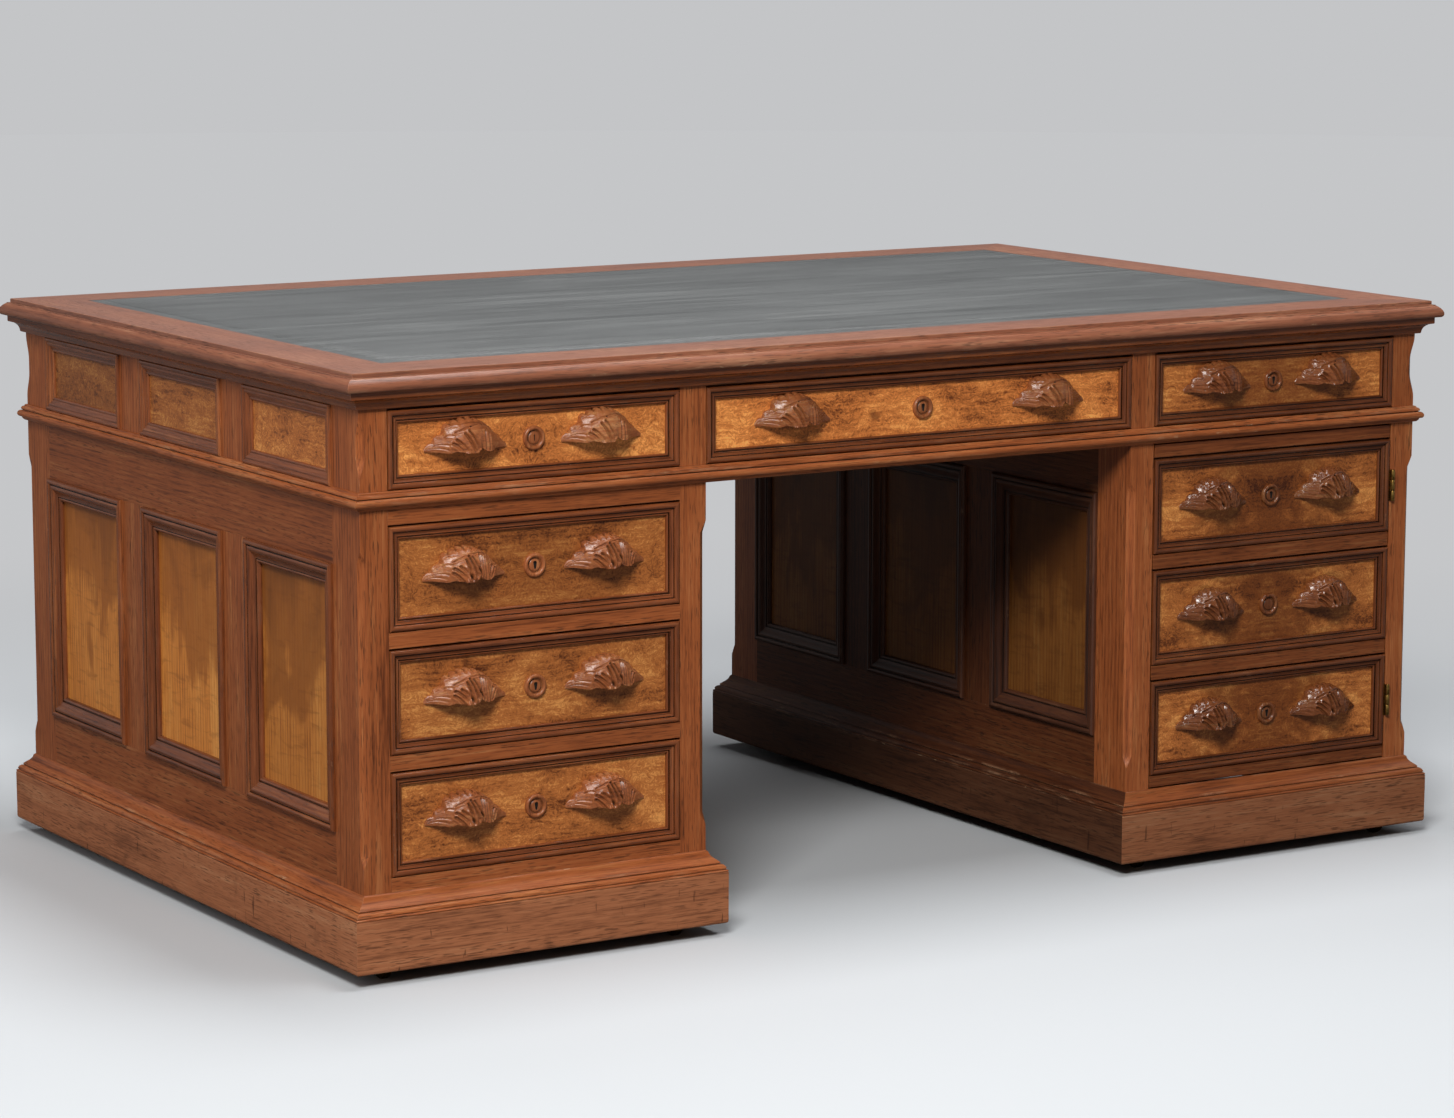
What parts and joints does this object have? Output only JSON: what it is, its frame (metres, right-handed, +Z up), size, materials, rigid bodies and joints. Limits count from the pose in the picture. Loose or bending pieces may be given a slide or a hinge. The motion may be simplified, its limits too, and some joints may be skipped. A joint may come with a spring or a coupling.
{
  "type": "partners desk",
  "caption": "Walnut and burl partners desk: leather-lined top, frieze drawers, pedestals with drawers and a false-drawer cupboard on each side, carved leaf pulls, casters.",
  "frame": {"origin": "on the floor under the middle of the desk", "axes": "+X along the front towards its cupboard, +Y from the front to the back, +Z up"},
  "size_m": [1.744, 1.098, 0.775],
  "materials": {
    "walnut": "satin wax polish",
    "dark_walnut": "satin wax polish",
    "figured_walnut": "satin wax polish",
    "burl_walnut": "satin wax polish",
    "carved_walnut": "hand-rubbed",
    "carcass_oak": "bare",
    "writing_leather": "worn, waxed",
    "hinge_brass": "aged",
    "caster_brass": "aged",
    "caster_iron": "rough"
  },
  "bodies": {
    "desk": {"top_border_boards": "walnut", "top_bed": "carcass_oak", "leather_inset": "writing_leather", "cornice_moulding": "walnut", "waist_moulding": "walnut", "frieze_frame": "walnut", "frieze_dividers": "carcass_oak", "left_pedestal_frame": "walnut", "left_pedestal_boards": "carcass_oak", "right_pedestal_frame": "walnut", "right_pedestal_boards": "carcass_oak", "side_panels": "figured_walnut", "side_panel_mouldings": "dark_walnut", "plinths": "walnut", "caster_plates": "caster_iron", "post_hinges": "hinge_brass"},
    "front_left_frieze_drawer": {"front_left_frieze_drawer": "burl_walnut", "front_left_frieze_drawer_fittings": "carved_walnut"},
    "front_centre_frieze_drawer": {"front_centre_frieze_drawer": "burl_walnut", "front_centre_frieze_drawer_fittings": "carved_walnut"},
    "front_right_frieze_drawer": {"front_right_frieze_drawer": "burl_walnut", "front_right_frieze_drawer_fittings": "carved_walnut"},
    "front_lower_pedestal_drawer": {"front_lower_pedestal_drawer": "burl_walnut", "front_lower_pedestal_drawer_fittings": "carved_walnut"},
    "front_middle_pedestal_drawer": {"front_middle_pedestal_drawer": "burl_walnut", "front_middle_pedestal_drawer_fittings": "carved_walnut"},
    "front_upper_pedestal_drawer": {"front_upper_pedestal_drawer": "burl_walnut", "front_upper_pedestal_drawer_fittings": "carved_walnut"},
    "front_cupboard_door": {"front_cupboard_door": "burl_walnut", "front_cupboard_door_fittings": "carved_walnut"},
    "back_left_frieze_drawer": {"back_left_frieze_drawer": "burl_walnut", "back_left_frieze_drawer_fittings": "carved_walnut"},
    "back_centre_frieze_drawer": {"back_centre_frieze_drawer": "burl_walnut", "back_centre_frieze_drawer_fittings": "carved_walnut"},
    "back_right_frieze_drawer": {"back_right_frieze_drawer": "burl_walnut", "back_right_frieze_drawer_fittings": "carved_walnut"},
    "back_lower_pedestal_drawer": {"back_lower_pedestal_drawer": "burl_walnut", "back_lower_pedestal_drawer_fittings": "carved_walnut"},
    "back_middle_pedestal_drawer": {"back_middle_pedestal_drawer": "burl_walnut", "back_middle_pedestal_drawer_fittings": "carved_walnut"},
    "back_upper_pedestal_drawer": {"back_upper_pedestal_drawer": "burl_walnut", "back_upper_pedestal_drawer_fittings": "carved_walnut"},
    "back_cupboard_door": {"back_cupboard_door": "burl_walnut", "back_cupboard_door_fittings": "carved_walnut"},
    "left_front_outer_caster_fork": {"left_front_outer_caster_fork": "caster_brass"},
    "left_front_outer_caster_wheel": {"left_front_outer_caster_wheel": "caster_brass"},
    "left_front_knee_caster_fork": {"left_front_knee_caster_fork": "caster_brass"},
    "left_front_knee_caster_wheel": {"left_front_knee_caster_wheel": "caster_brass"},
    "left_back_outer_caster_fork": {"left_back_outer_caster_fork": "caster_brass"},
    "left_back_outer_caster_wheel": {"left_back_outer_caster_wheel": "caster_brass"},
    "left_back_knee_caster_fork": {"left_back_knee_caster_fork": "caster_brass"},
    "left_back_knee_caster_wheel": {"left_back_knee_caster_wheel": "caster_brass"},
    "right_front_outer_caster_fork": {"right_front_outer_caster_fork": "caster_brass"},
    "right_front_outer_caster_wheel": {"right_front_outer_caster_wheel": "caster_brass"},
    "right_front_knee_caster_fork": {"right_front_knee_caster_fork": "caster_brass"},
    "right_front_knee_caster_wheel": {"right_front_knee_caster_wheel": "caster_brass"},
    "right_back_outer_caster_fork": {"right_back_outer_caster_fork": "caster_brass"},
    "right_back_outer_caster_wheel": {"right_back_outer_caster_wheel": "caster_brass"},
    "right_back_knee_caster_fork": {"right_back_knee_caster_fork": "caster_brass"},
    "right_back_knee_caster_wheel": {"right_back_knee_caster_wheel": "caster_brass"}
  },
  "joints": [
    {"name": "front_left_frieze_drawer_slide", "type": "slide", "parent": "desk", "child": "front_left_frieze_drawer", "axis": [0, -1, 0], "range_m": [0, 0.36]},
    {"name": "front_centre_frieze_drawer_slide", "type": "slide", "parent": "desk", "child": "front_centre_frieze_drawer", "axis": [0, -1, 0], "range_m": [0, 0.36]},
    {"name": "front_right_frieze_drawer_slide", "type": "slide", "parent": "desk", "child": "front_right_frieze_drawer", "axis": [0, -1, 0], "range_m": [0, 0.36]},
    {"name": "front_lower_pedestal_drawer_slide", "type": "slide", "parent": "desk", "child": "front_lower_pedestal_drawer", "axis": [0, -1, 0], "range_m": [0, 0.36]},
    {"name": "front_middle_pedestal_drawer_slide", "type": "slide", "parent": "desk", "child": "front_middle_pedestal_drawer", "axis": [0, -1, 0], "range_m": [0, 0.36]},
    {"name": "front_upper_pedestal_drawer_slide", "type": "slide", "parent": "desk", "child": "front_upper_pedestal_drawer", "axis": [0, -1, 0], "range_m": [0, 0.36]},
    {"name": "front_cupboard_door_hinge", "type": "hinge", "parent": "desk", "child": "front_cupboard_door", "pos_m": [0.806, -0.5233, 0.35], "axis": [0, 0, 1], "range_deg": [0, 105]},
    {"name": "back_left_frieze_drawer_slide", "type": "slide", "parent": "desk", "child": "back_left_frieze_drawer", "axis": [0, 1, 0], "range_m": [0, 0.36]},
    {"name": "back_centre_frieze_drawer_slide", "type": "slide", "parent": "desk", "child": "back_centre_frieze_drawer", "axis": [0, 1, 0], "range_m": [0, 0.36]},
    {"name": "back_right_frieze_drawer_slide", "type": "slide", "parent": "desk", "child": "back_right_frieze_drawer", "axis": [0, 1, 0], "range_m": [0, 0.36]},
    {"name": "back_lower_pedestal_drawer_slide", "type": "slide", "parent": "desk", "child": "back_lower_pedestal_drawer", "axis": [0, 1, 0], "range_m": [0, 0.36]},
    {"name": "back_middle_pedestal_drawer_slide", "type": "slide", "parent": "desk", "child": "back_middle_pedestal_drawer", "axis": [0, 1, 0], "range_m": [0, 0.36]},
    {"name": "back_upper_pedestal_drawer_slide", "type": "slide", "parent": "desk", "child": "back_upper_pedestal_drawer", "axis": [0, 1, 0], "range_m": [0, 0.36]},
    {"name": "back_cupboard_door_hinge", "type": "hinge", "parent": "desk", "child": "back_cupboard_door", "pos_m": [-0.806, 0.5233, 0.35], "axis": [0, 0, 1], "range_deg": [0, 105]},
    {"name": "left_front_outer_caster_swivel", "type": "hinge", "parent": "desk", "child": "left_front_outer_caster_fork", "pos_m": [-0.807, -0.484, 0.036], "axis": [0, 0, 1], "continuous": true},
    {"name": "left_front_outer_caster_roll", "type": "hinge", "parent": "left_front_outer_caster_fork", "child": "left_front_outer_caster_wheel", "pos_m": [-0.807, -0.498, 0.016], "axis": [1, 0, 0], "continuous": true},
    {"name": "left_front_knee_caster_swivel", "type": "hinge", "parent": "desk", "child": "left_front_knee_caster_fork", "pos_m": [-0.378, -0.484, 0.036], "axis": [0, 0, 1], "continuous": true},
    {"name": "left_front_knee_caster_roll", "type": "hinge", "parent": "left_front_knee_caster_fork", "child": "left_front_knee_caster_wheel", "pos_m": [-0.378, -0.498, 0.016], "axis": [1, 0, 0], "continuous": true},
    {"name": "left_back_outer_caster_swivel", "type": "hinge", "parent": "desk", "child": "left_back_outer_caster_fork", "pos_m": [-0.807, 0.484, 0.036], "axis": [0, 0, 1], "continuous": true},
    {"name": "left_back_outer_caster_roll", "type": "hinge", "parent": "left_back_outer_caster_fork", "child": "left_back_outer_caster_wheel", "pos_m": [-0.807, 0.498, 0.016], "axis": [1, 0, 0], "continuous": true},
    {"name": "left_back_knee_caster_swivel", "type": "hinge", "parent": "desk", "child": "left_back_knee_caster_fork", "pos_m": [-0.378, 0.484, 0.036], "axis": [0, 0, 1], "continuous": true},
    {"name": "left_back_knee_caster_roll", "type": "hinge", "parent": "left_back_knee_caster_fork", "child": "left_back_knee_caster_wheel", "pos_m": [-0.378, 0.498, 0.016], "axis": [1, 0, 0], "continuous": true},
    {"name": "right_front_outer_caster_swivel", "type": "hinge", "parent": "desk", "child": "right_front_outer_caster_fork", "pos_m": [0.807, -0.484, 0.036], "axis": [0, 0, 1], "continuous": true},
    {"name": "right_front_outer_caster_roll", "type": "hinge", "parent": "right_front_outer_caster_fork", "child": "right_front_outer_caster_wheel", "pos_m": [0.807, -0.498, 0.016], "axis": [1, 0, 0], "continuous": true},
    {"name": "right_front_knee_caster_swivel", "type": "hinge", "parent": "desk", "child": "right_front_knee_caster_fork", "pos_m": [0.378, -0.484, 0.036], "axis": [0, 0, 1], "continuous": true},
    {"name": "right_front_knee_caster_roll", "type": "hinge", "parent": "right_front_knee_caster_fork", "child": "right_front_knee_caster_wheel", "pos_m": [0.378, -0.498, 0.016], "axis": [1, 0, 0], "continuous": true},
    {"name": "right_back_outer_caster_swivel", "type": "hinge", "parent": "desk", "child": "right_back_outer_caster_fork", "pos_m": [0.807, 0.484, 0.036], "axis": [0, 0, 1], "continuous": true},
    {"name": "right_back_outer_caster_roll", "type": "hinge", "parent": "right_back_outer_caster_fork", "child": "right_back_outer_caster_wheel", "pos_m": [0.807, 0.498, 0.016], "axis": [1, 0, 0], "continuous": true},
    {"name": "right_back_knee_caster_swivel", "type": "hinge", "parent": "desk", "child": "right_back_knee_caster_fork", "pos_m": [0.378, 0.484, 0.036], "axis": [0, 0, 1], "continuous": true},
    {"name": "right_back_knee_caster_roll", "type": "hinge", "parent": "right_back_knee_caster_fork", "child": "right_back_knee_caster_wheel", "pos_m": [0.378, 0.498, 0.016], "axis": [1, 0, 0], "continuous": true}
  ]
}
